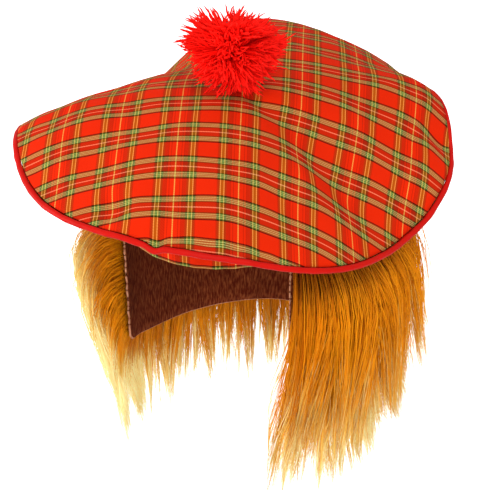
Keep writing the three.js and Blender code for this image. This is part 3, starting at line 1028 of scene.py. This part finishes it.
@dataclass
class Crown:
    """The tartan top panel and underside with the satin piping in their seam."""

    form: CrownForm
    head: HeadForm
    wall: float = 1.2 * MM
    around: int = 330
    across: int = 56
    under_rows: int = 18
    warp_repeat: float = 42.46 * MM
    weft_repeat: float = 32.92 * MM
    cloth_bearing: float = 28.5
    under_turn: float = 17.0
    warp_start: float = 0.7315
    weft_start: float = 0.3274
    warp_pull: tuple[float, float, float] = (-1.5 * MM, -1.0 * MM, 3.2 * MM)
    weft_pull: tuple[float, float, float] = (1.7 * MM, 1.0 * MM, -2.3 * MM)
    pull_reach: float = 100 * MM
    piping_radius: float = 2.15 * MM
    piping_tuck: float = 1.6 * MM
    inward: float = 0.6
    back_bearing: float = 121.0
    piping_steps: int = 480
    piping_sides: int = 12
    seam_gap: float = 0.3 * MM
    cloth_gap: float = 1.6 * MM
    sag: float = 2.6 * MM
    pleat: float = 0.4 * MM
    gather: float = 0.35 * MM
    puff: float = 0.8 * MM

    def tucked(self, bearing: Array) -> Array:
        """How far the cloth puffs over the piping: 1 at the raised back of the rim, 0 at the front.

        It is a smooth step of the cosine of the angle from the back.
        """
        return ease(np.cos(np.radians(bearing - self.back_bearing)) + 0.75)

    def creases(self, bearing: Array, share: Array, points: Array) -> Array:
        """Small lifts of the cloth: slack ripples all over and short gathers into the rim seam.

        The ripples are sine waves that fade towards the middle. The gathers are a sine round the rim that
        swells just inside it. A bump puffs the cloth over the piping, and the short creases are added.
        """
        slack = ((70 * MM, 20, 0.5 * MM), (44 * MM, 75, 0.35 * MM), (31 * MM, 130, 0.2 * MM))
        loose = ripple(points, slack) * ease((share - 0.15) / 0.4) * (1 - 0.6 * ease((share - 0.85) / 0.15))
        way = np.radians(bearing)
        pull = np.sin(way * 43 + 2.2 * np.sin(way * 7)) * (0.6 + 0.4 * np.sin(way * 5 + 1))
        near_rim = ease((share - 0.88) / 0.1) * (1 - 0.7 * ease((share - 0.97) / 0.03))
        gathers = self.gather * pull * near_rim
        puffed = self.puff * self.tucked(bearing) * swell(share - 0.91, 0.08)
        return loose + gathers + puffed + self.form.lift(bearing, share, CREASES)

    def cloth_places(self, points: Array) -> Array:
        """The cloth map: lengths measured on the dome along and across the cloth, in repeats.

        On a square grid over the plan, turned to the cloth's bearing, each step is as long as the slope
        makes it. The running sums of the steps from the middle are the two lengths, to which the pulls add
        a little where the cloth was stretched in the making: by the square of each, and by both together.
        """
        count, half = 381, 190 * MM
        axis = np.linspace(-half, half, count)
        turn = np.radians(self.cloth_bearing)
        run, rise = np.meshgrid(axis, axis, indexing="ij")
        x = run * np.cos(turn) - rise * np.sin(turn)
        y = run * np.sin(turn) + rise * np.cos(turn)
        height = self.form.level_at(x, y)
        step = axis[1] - axis[0]
        along = np.cumsum(np.hypot(1, np.gradient(height, step, axis=0)), axis=0) * step
        across = np.cumsum(np.hypot(1, np.gradient(height, step, axis=1)), axis=1) * step
        along -= along[count // 2][None, :]
        across -= across[:, count // 2][:, None]
        row, column = ((place + half) / step for place in turned(points, self.cloth_bearing))
        u, v = self.read_grid(along, row, column), self.read_grid(across, row, column)
        a, b = u / self.pull_reach, v / self.pull_reach
        warp, weft = (
            length + pull[0] * a * a + pull[1] * b * b + pull[2] * a * b
            for length, pull in ((u, self.warp_pull), (v, self.weft_pull))
        )
        places = [warp / self.warp_repeat + self.warp_start, weft / self.weft_repeat + self.weft_start]
        return np.stack(places, axis=-1)

    @staticmethod
    def read_grid(values: Array, row: Array, column: Array) -> Array:
        """Values of a grid at places between its points, mixed from the nearest four."""
        first = np.clip(np.floor(row).astype(int), 0, values.shape[0] - 2)
        second = np.clip(np.floor(column).astype(int), 0, values.shape[1] - 2)
        a, b = row - first, column - second
        low = values[first, second] * (1 - b) + values[first, second + 1] * b
        high = values[first + 1, second] * (1 - b) + values[first + 1, second + 1] * b
        return low * (1 - a) + high * a

    def rim_line(self, bearing: Array) -> Array:
        """Points of the top panel's outer edge, with its creases."""
        ones = np.ones_like(bearing)
        line = self.form.points(bearing, ones)
        line[..., 2] += self.creases(bearing, ones, line)
        return line

    def top(self, wardrobe: Wardrobe) -> bpy.types.Object:
        """Builds the top panel as a closed sheet of cloth.

        Its face is the dome plus the creases, and its back lies one wall inwards along the normals.
        """
        bearing, share = round_grid(self.around, np.linspace(0.02, 1, self.across))
        face = self.form.points(bearing, share)
        cloth = self.cloth_places(face)
        face[..., 2] += self.creases(bearing, share, face)
        normals = grid_normals(face, closed=True)
        back = face - normals * self.wall * np.sign(normals[..., 2:])
        points, faces = shell(face, back, closed=True, pole=True)
        piece = add_mesh("tartan_crown", points, faces)
        middle = self.cloth_places(points[-2:])
        set_cloth_map(piece, np.concatenate([cloth.reshape(-1, 2), cloth.reshape(-1, 2), middle]))
        dress(piece, wardrobe.tartan, "tartan_cloth", "crown_top")
        return piece

    @staticmethod
    def sheet_area(grid: Array, closed: bool = True) -> float:
        """The area of a grid surface, from the cross products of its steps.

        Each cell counts as the length of the cross product of its two edges.
        """
        ahead = np.roll(grid, -1, axis=0) if closed else grid[1:]
        here = grid if closed else grid[:-1]
        steps = np.cross((ahead - here)[:, :-1], here[:, 1:] - here[:, :-1])
        return float(np.linalg.norm(steps, axis=-1).sum())

    def allowance(self, bearing: Array, rim: Array) -> Array:
        """The height of the underside's seam allowance, just below the top panel's lower face.

        It is the panel's height there less its wall and a gap, both measured upright on the slope.

        Args:
            bearing: The bearings of the rim's points.
            rim: The points of the underside's outer edge in plan, n by 3.

        Returns:
            The heights.
        """
        away = np.hypot(rim[:, 0] - self.form.centre[0], rim[:, 1] - self.form.centre[1])
        reach = self.form.radius * rim_value("reach", bearing)
        share = np.minimum(1.0, away / reach)
        level = self.form.level(bearing, share) + self.creases(bearing, share, rim)
        step = 2 * MM
        rise = self.form.level(bearing, 1 - step / reach) - self.form.level(bearing, np.ones_like(reach))
        return level - (self.wall + self.seam_gap) * np.hypot(1, rise / step)

    def underside(self, wardrobe: Wardrobe) -> bpy.types.Object:
        """Builds the ring between the rim seam and the headband, gathered where it meets the band.

        Its face runs straight from the rim to the band, sinks between them by half a sine wave, and is
        pleated by a sine round it. Its outer edge is turned up to the panel as a seam allowance.
        """
        bearing, share = round_grid(self.around, np.linspace(0, 1, self.under_rows))
        rim = self.rim_line(bearing)
        way = np.radians(bearing)
        tucked = self.tucked(bearing)
        rim -= outward(bearing) * (self.piping_radius + self.seam_gap) * self.inward * tucked[..., None]
        allowance = self.allowance(bearing[:, 0], rim[:, 0])
        rim[..., 2] -= self.cloth_gap + self.seam_gap + self.piping_tuck * tucked**0.8
        seam = self.head.points(bearing, self.head.band_wall + self.seam_gap, self.head.band_height)
        face = rim + (seam - rim) * share[..., None]
        face[..., 2] -= self.sag * np.sin(np.pi * share)
        pleats = 1 + np.sin(way * 40 + 1.5 * np.sin(way * 6))
        face[..., 2] -= self.pleat * pleats * ease(share / 0.5) * (1 - ease((share - 0.93) / 0.07))
        back = face - np.array([0, 0, self.wall])
        face[:, 0, 2] = allowance
        points, faces = shell(face, back, closed=True)
        piece = add_mesh("tartan_underside", points, faces)
        run, rise = turned(points, self.cloth_bearing + self.under_turn)
        set_cloth_map(piece, np.stack([run / self.warp_repeat, rise / self.weft_repeat], axis=-1))
        # The underside wears the tartan copy darkened by a painted shade.
        dress(piece, wardrobe.lower_tartan, "tartan_cloth", "crown_underside")
        return piece

    def piping(self, wardrobe: Wardrobe) -> bpy.types.Object:
        """Builds the satin piping: a cord of slightly uneven roundness just outside the rim seam.

        Its circles follow the rim's line, one radius and a gap further out at the front and less so at
        the back. Sines along and round it change the radius by a few hundredths.
        """
        bearing = np.arange(self.piping_steps) * 360 / self.piping_steps
        way, side = np.radians(bearing), outward(bearing)
        middle = self.rim_line(bearing)
        tucked = self.tucked(bearing)
        outset = (self.piping_radius + self.seam_gap) * (1 - self.inward * tucked)
        middle = middle + side * outset[:, None]
        middle[:, 2] -= self.cloth_gap + self.seam_gap / 2 + self.piping_tuck * tucked**0.8
        up = np.broadcast_to([0.0, 0.0, 1.0], middle.shape)
        angle = np.linspace(0, 2 * np.pi, self.piping_sides, endpoint=False)
        twist = np.sin(angle[None, :] * 2 + way[:, None] * 61 + 2 * np.sin(way[:, None] * 11))
        lumps = 0.5 * np.sin(way * 47 + 3 * np.sin(way * 5)) + 0.5 * np.sin(way * 83)
        radius = self.piping_radius * (1 + 0.035 * twist + 0.05 * lumps[:, None])
        points, faces = ring_tube(middle, side, up, radius)
        piece = add_mesh("satin_piping", points, faces)
        run = np.repeat(way * self.form.radius, self.piping_sides)
        turn = np.tile(angle * self.piping_radius, self.piping_steps)
        set_cloth_map(piece, np.stack([run, turn], axis=-1))
        return dress(piece, wardrobe.satin, "red_satin", "rim_piping")


@dataclass
class Headband:
    """The tartan band that grips the head."""

    head: HeadForm
    around: int = 300
    rows: int = 9
    warp_repeat: float = 43.6 * MM
    weft_repeat: float = 35.0 * MM

    def band(self, wardrobe: Wardrobe) -> bpy.types.Object:
        """Builds the band as an oval wall whose lower edge is a soft fold.

        Its two faces are ovals a wall apart that draw together at the lower edge. A sine round the band
        eases the outer one.
        """
        bearing, share = round_grid(self.around, np.linspace(0, 1, self.rows))
        way, height = np.radians(bearing), self.head.band_height * share
        ease_off = 0.25 * MM * (1 + np.sin(way * 37 + 2 * np.sin(way * 5)))
        fold = 0.6 * MM * swell(share, 0.18)
        outer = self.head.points(bearing, self.head.band_wall - ease_off - fold, height)
        inner = self.head.points(bearing, 0.1 * MM + fold, height)
        points, faces = shell(outer, inner, closed=True)
        piece = add_mesh("tartan_headband", points, faces)
        run = np.concatenate([(way * (self.head.half_width + self.head.half_depth) / 2).ravel()] * 2)
        set_cloth_map(piece, np.stack([run / self.warp_repeat, points[:, 2] / self.weft_repeat], axis=-1))
        dress(piece, wardrobe.tartan, "tartan_cloth", "headband")
        return piece


@dataclass
class HairStrip:
    """The fur strip: its brushed knit backing, the backing's cut edge and the hanging fur."""

    head: HeadForm
    wall: float = 1.6 * MM
    gap: float = 0.3 * MM
    tuck: float = 4 * MM
    around: int = 260
    rows: int = 28
    hair_drop: float = 215 * MM
    hair_puff: float = 58 * MM
    longest: float = 244 * MM
    near_puff: float = 0.64
    low_puff: float = 0.8
    lock_depth: float = 11 * MM
    splay: float = 4.5 * MM
    strands: int = 4550
    clumps: int = 85
    tufts: int = 420
    tuft_pull: float = 0.78
    lock_pull: float = 0.62
    thin_from: float = 0.82
    seed: int = 11

    def settled(self, along: Array, height: Array) -> Array:
        """How far the strip's right temple end stands out below the band.

        It is a smooth step along the last stretch times another down from the band, less towards the edge.
        """
        lower = 1 - 1.25 * np.clip(-height / self.head.drop, 0, 1) ** 1.5
        return self.splay * ease((along - 0.86) / 0.14) * ease(-height / (18 * MM)) * lower

    def backing(self, wardrobe: Wardrobe) -> bpy.types.Object:
        """Builds the backing, a C-shaped sheet that hangs from inside the headband.

        It is two sheets of the strip's oval, a wall apart, from the tuck in the band to the lower edge.
        """
        shares = np.linspace(0, 1, self.around), np.linspace(0, 1, self.rows)
        along, share = np.meshgrid(*shares, indexing="ij")
        top = self.head.band_height - self.tuck
        height = top + (self.head.edge(along) - top) * share
        outset = self.settled(along, height) - self.gap
        outer = self.head.strip(along, outset, height)
        inner = self.head.strip(along, outset - self.wall, height)
        slack = ((46 * MM, 90, 0.35 * MM), (27 * MM, 40, 0.2 * MM))
        waves = ripple(np.stack([along * self.head.strip_length, height], axis=-1), slack)
        inner = inner - unit(inner * [1, 1, 0]) * (0.2 * MM + 0.6 * waves)[..., None]
        points, faces = shell(outer, inner, closed=False)
        piece = add_mesh("knit_backing", points, faces)
        run = np.concatenate([(along * self.head.strip_length).ravel()] * 2)
        set_cloth_map(piece, np.stack([run, points[:, 2]], axis=-1))
        return dress(piece, wardrobe.knit, "brown_knit", "hair_backing")

    def edge_line(self) -> Array:
        """The line of the backing's cut edge: down one end, along the lower edge and up the other."""
        down = np.linspace(0, 1, 60)
        low = self.head.edge(np.array([0.0, 1.0]))
        left = np.stack([np.zeros_like(down), down * low[0]], axis=-1)
        right = np.stack([np.ones_like(down), (1 - down) * low[1]], axis=-1)
        along = np.linspace(0, 1, 420)[1:-1]
        bottom = np.stack([along, self.head.edge(along)], axis=-1)
        return np.concatenate([left, bottom, right])

    def cut_edge(self, wardrobe: Wardrobe) -> bpy.types.Object:
        """Builds the pale cut edge of the backing as a thin uneven roll.

        The roll is a tube along the edge's line, whose radius and place waver by the product of two sines.
        """
        line = self.edge_line()
        wobble = np.sin(np.arange(len(line)) * 0.9) * np.sin(np.arange(len(line)) * 0.23)
        outset = self.settled(line[:, 0], line[:, 1]) - self.gap - self.wall / 2 + 0.35 * MM * wobble
        middle = self.head.strip(line[:, 0], outset, line[:, 1] - 0.3 * MM)
        radius = (0.75 + 0.15 * wobble) * MM
        points, faces = strand_mesh(middle[None], radius[None], sides=8)
        piece = add_mesh("backing_cut_edge", points, faces)
        set_cloth_map(piece, np.stack([points[:, 0] + points[:, 1], points[:, 2]], axis=-1))
        return dress(piece, wardrobe.binding, "brown_knit")

    def fur(self, name: str, start: float, end: float, wardrobe: Wardrobe, number: int) -> bpy.types.Object:
        """Builds the fur on one stretch of the strip.

        Each strand leaves the backing, stands off as its table says, falls, and comes in again at its
        tip. Strands draw together towards their tuft's line on the way down, and then their lock's.

        Args:
            name: The piece's name.
            start: Where the stretch begins, as a share of the strip.
            end: Where it ends.
            wardrobe: The materials.
            number: The stretch's number, which sets its random draws.

        Returns:
            The piece.
        """
        draw = np.random.default_rng(self.seed + number)
        locks = self.scatter(draw, start, end, self.clumps)
        tufts = self.scatter(draw, start, end, self.tufts)
        place = self.scatter(draw, start, end, self.strands)
        steps = np.array([0.0, 0.08, 0.2, 0.36, 0.54, 0.72, 0.87, 1.0])
        lock_look = draw.normal(0, 1, (self.clumps, 4))
        tuft_look = 0.7 * draw.normal(0, 1, (self.tufts, 4)) + 0.6 * lock_look[self.nearest(tufts, locks)]
        own_look = draw.normal(0, 1, (self.strands, 4))
        tuft = self.nearest(place, tufts)
        lock = self.nearest(tufts, locks)[tuft]
        look = 0.6 * own_look + 0.5 * tuft_look[tuft]
        shorter = 1 - 0.5 * draw.uniform(0, 1, (self.strands, 1)) ** 1.6
        thin = ease((place[:, :1] - self.thin_from) / 0.12)
        shorter = shorter * (1 - 0.14 * thin)
        own = self.strand_lines(place, steps, look, shorter)
        in_tuft = self.strand_lines(tufts, steps, tuft_look, np.ones((self.tufts, 1)))[tuft]
        in_lock = self.strand_lines(locks, steps, lock_look, np.ones((self.clumps, 1)))[lock]
        loose = np.clip(1 + 0.4 * own_look[:, :1], 0, 1.2)
        near = (self.tuft_pull * ease(steps / 0.8) * loose)[..., None]
        far = (self.lock_pull * ease((steps - 0.25) / 0.75) * loose)[..., None]
        lines = own + (in_tuft - own) * near * [1, 1, 0.3]
        lines = lines + (in_lock - lines) * far * [1, 1, 0.2]
        lines = self.hung(lines, np.abs(own_look[:, 2:3]) * 2.5 * MM)
        radii = np.array([0.24, 0.27, 0.27, 0.26, 0.23, 0.18, 0.12, 0.03]) * MM
        radii = radii * np.clip(1 + 0.2 * own_look[:, 1:2], 0.5, 1.5)
        points, faces = strand_mesh(lines, radii)
        piece = add_mesh(name, points, faces)
        # Strands are drawn paler towards their tips, more when rooted low and near the right temple end:
        # partly the fur's own colour and partly painted backlight through the thin hanging fur.
        low = 0.74 + 0.26 * ease(place[:, 1:] / 0.75)
        thin = thin * (1 - 0.5 * ease(place[:, 1:] / 0.6))
        paler = steps[None, :] * (low + 0.4 * thin + 0.16 * own_look[:, 2:3]) + 0.4 * thin
        tint = 0.62 + 0.16 * lock_look[lock, 3] + 0.16 * tuft_look[tuft, 3] + 0.2 * own_look[:, 3]
        colour_strands(piece, np.clip(paler, 0, 1), tint)
        return dress(piece, wardrobe.fur, "ginger_fur", "hair")

    @staticmethod
    def scatter(draw: np.random.Generator, start: float, end: float, count: int) -> Array:
        """Random places on a stretch: the share along the strip and the share down the backing."""
        return np.stack([draw.uniform(start, end, count), draw.uniform(0, 1, count) ** 0.9], axis=-1)

    def nearest(self, places: Array, centres: Array) -> Array:
        """For each place the number of the nearest centre, measured on the backing."""
        scale = np.array([self.head.strip_length, self.head.drop])
        return np.linalg.norm((places[:, None] - centres[None]) * scale, axis=-1).argmin(axis=1)

    def strand_lines(self, place: Array, steps: Array, look: Array, length: Array) -> Array:
        """The lines of strands that are rooted at places of the strip, in the strip's own measures.

        The height goes from root to tip by a power of the share. The stand-off is the puff times a power
        of a sine that rises fast and comes in again, plus the flare times the cube of the share.

        Args:
            place: For each strand its share along the strip and down the backing.
            steps: The shares of the way from root to tip.
            look: Four numbers for each strand: how its length, puff, drift and wave differ.
            length: Each strand's length as a share of the full one there.

        Returns:
            For each strand and step the share along the strip, the stand-off and the height.
        """
        along, down = place[:, :1], place[:, 1:]
        share = steps[None, :] * length
        root = self.head.edge(along) * (0.01 + 0.97 * down)
        full = self.hair_drop * strip_value("tip", along) * (0.72 + 0.3 * down**0.8)
        tip = np.maximum(-full * (1 + 0.07 * look[:, :1]), -self.longest)
        puff = self.near_puff * self.hair_puff * strip_value("puff", along) + self.lock_depth
        near_end = 0.5 + 0.5 * ease(along / 0.07)
        puff = puff * (1 - self.low_puff * down) * (1 + 0.12 * look[:, 1:2]) * near_end
        flare = self.hair_puff * strip_value("flare", along) * (1 + 0.15 * look[:, 1:2]) * (1 - 0.5 * down)
        out = np.sin(np.pi * (0.85 * share) ** 0.75) ** 0.8
        drift = strip_value("sweep", along) * share + 0.014 * look[:, 2:3] * share**1.5
        wave = 1.8 * MM * np.sin(share * 8 + look[:, 3:] * 3) * share
        height = root + (tip - root) * share**1.15
        height = np.minimum(height, -1.2 * MM)
        stand_off = puff * out + flare * share**3 + wave
        return np.stack([along + drift, stand_off, height], axis=-1)

    def hung(self, places: Array, nearest: Array) -> Array:
        """Turns the strip's measures into points, and keeps strands outside the backing.

        Args:
            places: For each strand and step the share along the strip, the stand-off and the height.
            nearest: How close to the backing each strand may come.

        Returns:
            The lines of the strands, each kept its nearest distance from the backing while beside it.
        """
        along, stand_off, height = np.moveaxis(places, -1, 0)
        along = np.clip(along, -0.05, 1.05)
        below = ease((self.head.edge(along) - height) / (8 * MM))
        stand_off = np.maximum(stand_off, nearest) + np.minimum(stand_off - nearest, 0) * below
        return self.head.strip(along, self.settled(along, height) + 0.8 * MM + stand_off, height)


@dataclass
class Pompom:
    """The yarn pompom sewn on the middle of the crown."""

    crown: CrownForm
    strands: int = 1900
    tufts: int = 95
    flatten: float = 0.97
    lifted: float = 3 * MM
    long_ends: tuple[float, float, float] = (-0.45, -0.27, 0.85)
    curl: float = 1.6 * MM
    seed: int = 5

    def ball(self, wardrobe: Wardrobe) -> bpy.types.Object:
        """Builds the pompom from yarn ends that leave its middle in tufts and bend as they go.

        A yarn end's place is its heading by its share plus a sideways bend by the share's square, both
        times its reach and the ball's half sizes. A small sine swirl is added, and none goes below the crown.
        """
        low, high = (np.array(corner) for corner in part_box("pompom"))
        middle = (low + high) / 2 + [0, 0, self.lifted]
        size = (high - low) / 2 * [1, 1, self.flatten]
        draw = np.random.default_rng(self.seed)
        tufts = unit(draw.normal(0, 1, (self.tufts, 3)))
        way = unit(draw.normal(0, 1, (self.strands, 3)))
        member = (way @ tufts.T).argmax(axis=1)
        tuft_look = draw.normal(0, 1, (self.tufts, 4))
        own_look = draw.normal(0, 1, (self.strands, 4))
        steps = np.array([0.0, 0.22, 0.4, 0.55, 0.7, 0.82, 0.92, 1.0])
        share = steps[None, :, None]
        longer = 0.16 * ease((way @ np.array(self.long_ends) - 0.72) / 0.2)[:, None]
        longer = longer + 0.09 * ease((-way[:, 2:] - 0.35) / 0.5)
        reach = 0.83 + 0.1 * tuft_look[member, :1] + 0.07 * own_look[:, :1] + longer
        reach = np.clip(reach, 0.6, 1.14)[..., None]
        lean = unit(np.cross(tufts, draw.normal(0, 1, (self.tufts, 3))))[member]
        own_lean = unit(np.cross(way, draw.normal(0, 1, (self.strands, 3))))
        heading = unit(way + 0.5 * (tufts[member] - way))
        bend = (0.3 * lean + 0.22 * own_lean)[:, None] * share**2
        lines = middle + (heading[:, None] * (0.1 + 0.9 * share) + bend) * reach * size
        swirl = np.sin(share * 11 + own_look[:, None, 2:3] * 3)
        lines = lines + np.cross(heading, own_lean)[:, None] * swirl * self.curl * share
        floor = self.crown.level_at(lines[..., 0], lines[..., 1]) + 1 * MM
        lines[..., 2] = np.maximum(lines[..., 2], floor)
        radii = np.array([0.6, 0.75, 0.78, 0.78, 0.74, 0.68, 0.56, 0.3]) * MM
        radii = radii * np.clip(1 + 0.2 * own_look[:, 1:2], 0.6, 1.4)
        points, faces = strand_mesh(lines, radii)
        piece = add_mesh("yarn_pompom", points, faces)
        # The yarn's colour follows the steps, so its roots carry painted shade and its tips a painted
        # highlight.
        tint = 0.7 + 0.15 * tuft_look[member, 3] + 0.2 * own_look[:, 3]
        colour_strands(piece, np.broadcast_to(steps, radii.shape), tint)
        return dress(piece, wardrobe.yarn, "red_yarn", "pompom")


# The studio


@dataclass
class Studio:
    """The pale floor, the soft light and the camera."""

    azimuth: float = 31.0
    elevation: float = 28.0
    distance: float = 1.25
    lens: float = 131.3
    near_point: tuple[float, float, float] = (18.0 * MM, -41.7 * MM, 58.0 * MM)
    aim: tuple[float, float, float] = (38.4 * MM, -62.0 * MM, 5.6 * MM)
    floor_drop: float = 0.4
    surround: float = 0.8
    floor_half: float = 4.0

    @staticmethod
    def aimed(made: bpy.types.Object, place: Vector, target: Vector) -> bpy.types.Object:
        """Moves a lamp or a camera to a place and turns it to look at a target."""
        made.location = place
        made.rotation_euler = (target - place).to_track_quat("-Z", "Y").to_euler()
        return made

    def camera(self) -> None:
        """Places the camera at the photograph's angle."""
        data = bpy.data.cameras.new("camera")
        data.lens = self.lens
        data.clip_end = 50
        around, up = math.radians(self.azimuth), math.radians(self.elevation)
        back = Vector((math.sin(around) * math.cos(up), -math.cos(around) * math.cos(up), math.sin(up)))
        place = Vector(self.near_point) + back * self.distance
        bpy.context.scene.camera = self.aimed(add_object("camera", data), place, Vector(self.aim))

    def floor(self) -> None:
        """Lays the floor well below the lowest hair, so that it throws little colour up at it."""
        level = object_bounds()[0].z - self.floor_drop
        half = self.floor_half
        points = [(-half, -half, level), (half, -half, level), (half, half, level), (-half, half, level)]
        mesh = bpy.data.meshes.new("studio_floor")
        mesh.from_pydata(points, [], [(0, 1, 2, 3)])
        mesh.materials.append(PaleFinish("pale_floor", 0.9, 0.05).material())
        add_object("studio_floor", mesh)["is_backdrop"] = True

    def lamp(self, name: str, place: tuple[float, float, float], size: float, power: float) -> None:
        """Adds a square soft lamp that looks at the hat's middle."""
        data = bpy.data.lights.new(name, "AREA")
        data.energy = power
        data.size = size
        self.aimed(add_object(name, data), Vector(place), Vector((0, 0, 0)))

    def light(self) -> None:
        """Sets a surround that looks white but lights softly, and three soft lamps."""
        world = bpy.data.worlds.new("studio_surround")
        bpy.context.scene.world = world
        world.use_nodes = True
        graph = Graph(world.node_tree)
        backdrop = world.node_tree.nodes["Background"]
        seen = graph.add("ShaderNodeLightPath", {}).outputs["Is Camera Ray"]
        dim = (self.surround, self.surround, self.surround)
        world.node_tree.links.new(graph.mix(seen, dim, (1.0, 1.0, 1.0)), backdrop.inputs["Color"])
        self.lamp("key_lamp", place=(1.2, -1.3, 2.0), size=0.8, power=33.0)
        self.lamp("low_lamp", place=(0.9, -2.3, 0.5), size=1.2, power=18.0)
        self.lamp("left_lamp", place=(-1.9, -1.0, 0.4), size=1.0, power=32.0)
        bpy.context.scene.view_settings.view_transform = "Standard"


def main() -> None:
    """Builds the hat piece by piece, then the studio."""
    logging.basicConfig(level=logging.INFO, format="%(name)s: %(message)s")
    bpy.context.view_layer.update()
    wardrobe = Wardrobe.made()
    crown_form = CrownForm.from_frame()
    head_form = HeadForm.from_frame()
    LOG.info("crown radius %.4f, centre %s", crown_form.radius, crown_form.centre)
    crown = Crown(crown_form, head_form)
    crown.piping(wardrobe)
    crown.top(wardrobe)
    crown.underside(wardrobe)
    Headband(head_form).band(wardrobe)
    strip = HairStrip(head_form)
    backing = strip.backing(wardrobe)
    on_backing = [strip.cut_edge(wardrobe)]
    stretches = ("fur_left_front", "fur_left_back", "fur_right_back", "fur_right_front")
    for number, name in enumerate(stretches):
        start, end = number / len(stretches), (number + 1) / len(stretches)
        on_backing.append(strip.fur(name, start, end, wardrobe, number))
    Pompom(crown_form).ball(wardrobe)
    studio = Studio()
    studio.floor()
    studio.light()
    studio.camera()


if __name__ == "__main__":
    main()
